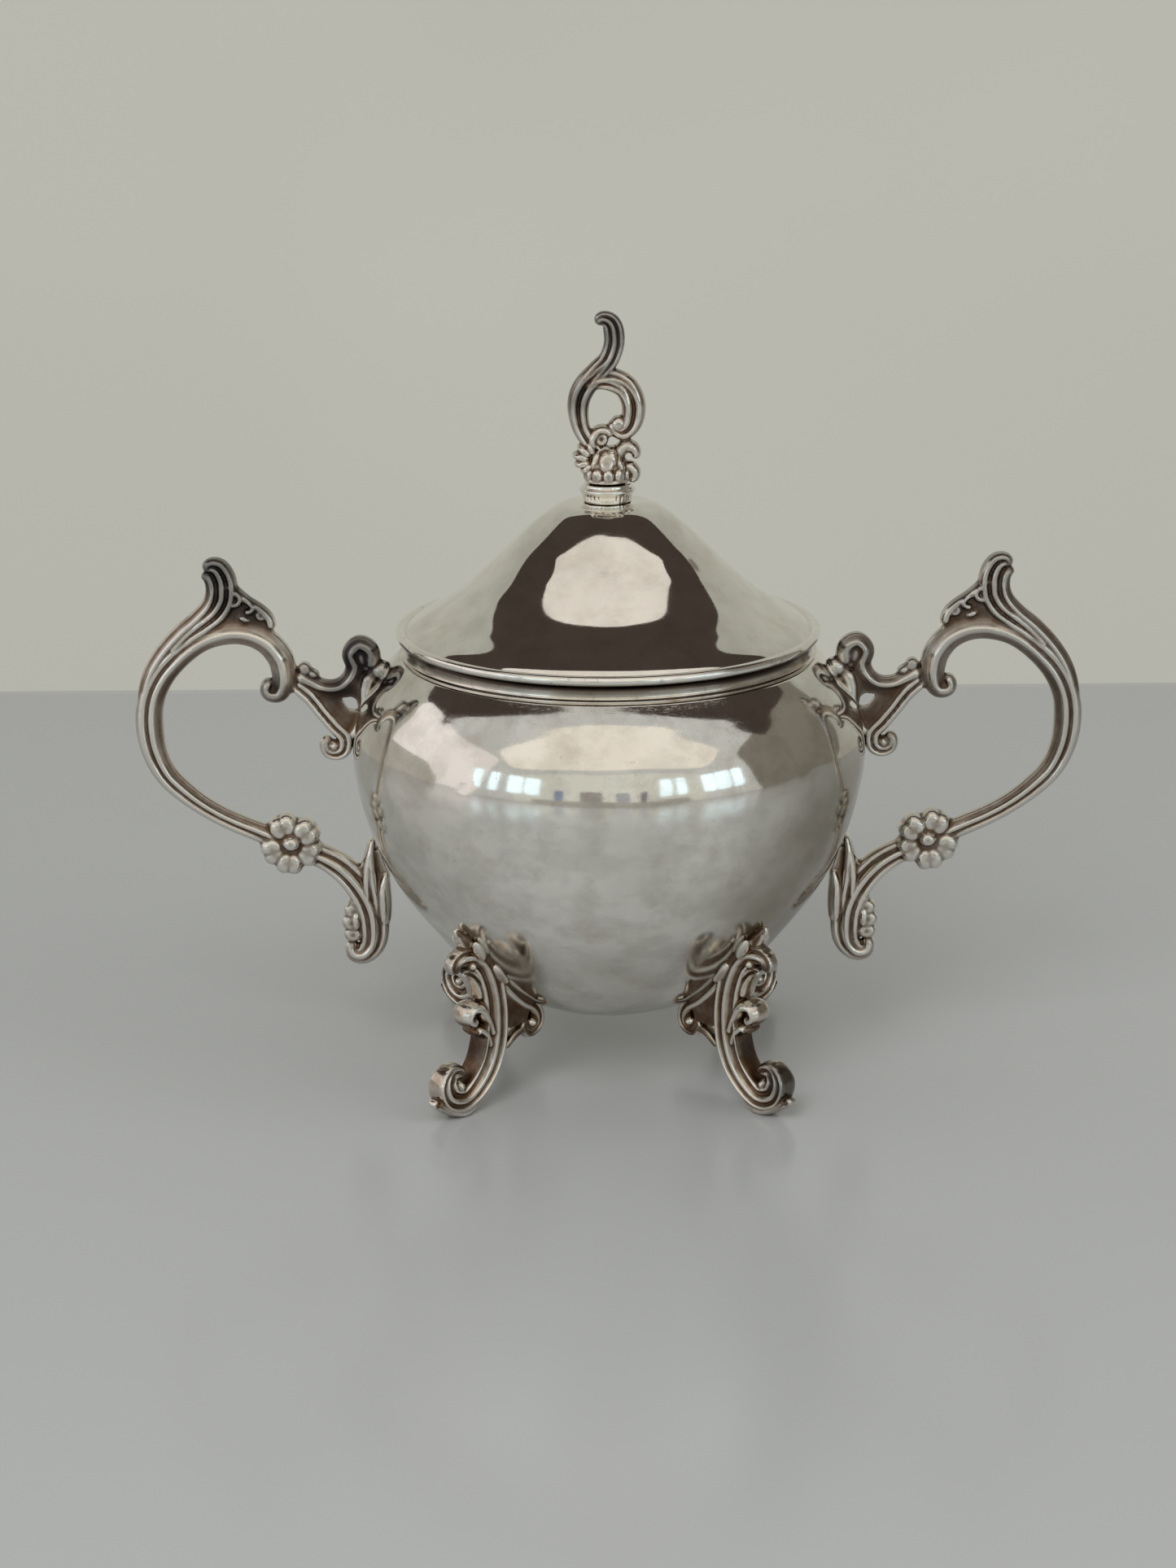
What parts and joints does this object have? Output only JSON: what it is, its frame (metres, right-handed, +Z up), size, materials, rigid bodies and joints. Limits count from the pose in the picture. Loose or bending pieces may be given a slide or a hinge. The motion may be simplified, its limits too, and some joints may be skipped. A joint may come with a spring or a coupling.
{
  "type": "sugar bowl",
  "caption": "Round lidded sugar bowl on scroll feet, with cast scroll handles, a domed lift-off lid and a ring finial, in tarnished silver plate.",
  "frame": {"origin": "on the table surface, on the bowl's axis", "axes": "+Z up along the bowl's axis, +X towards the right handle, -Y towards the front"},
  "size_m": [0.2104, 0.114, 0.1719],
  "materials": {
    "bowl_plate": "polished silver plate, lightly scratched and tarnished",
    "lid_plate": "polished silver plate, lightly scratched and tarnished",
    "trim_plate": "bright worn silver plate",
    "cast_plate": "cast silver plate with dark tarnish in the recesses",
    "finial_plate": "cast silver plate, heavily tarnished at the tip",
    "hardware": "dull brass"
  },
  "bodies": {
    "bowl": {"bowl_shell": "bowl_plate", "neck_band": "trim_plate", "handle_left": "cast_plate", "handle_right": "cast_plate", "foot_front_left": "cast_plate", "foot_front_right": "cast_plate", "foot_rear_left": "cast_plate", "foot_rear_right": "cast_plate"},
    "lid": {"lid_shell": "lid_plate", "lid_rim_wire": "trim_plate", "lid_bezel": "trim_plate", "finial_collar": "trim_plate", "finial": "finial_plate", "finial_stud": "hardware", "finial_washer": "hardware", "finial_nut": "hardware"}
  },
  "joints": [
    {"name": "lid_lift", "type": "slide", "parent": "bowl", "child": "lid", "axis": [0, 0, 1], "range_m": [0, 0.1]}
  ]
}
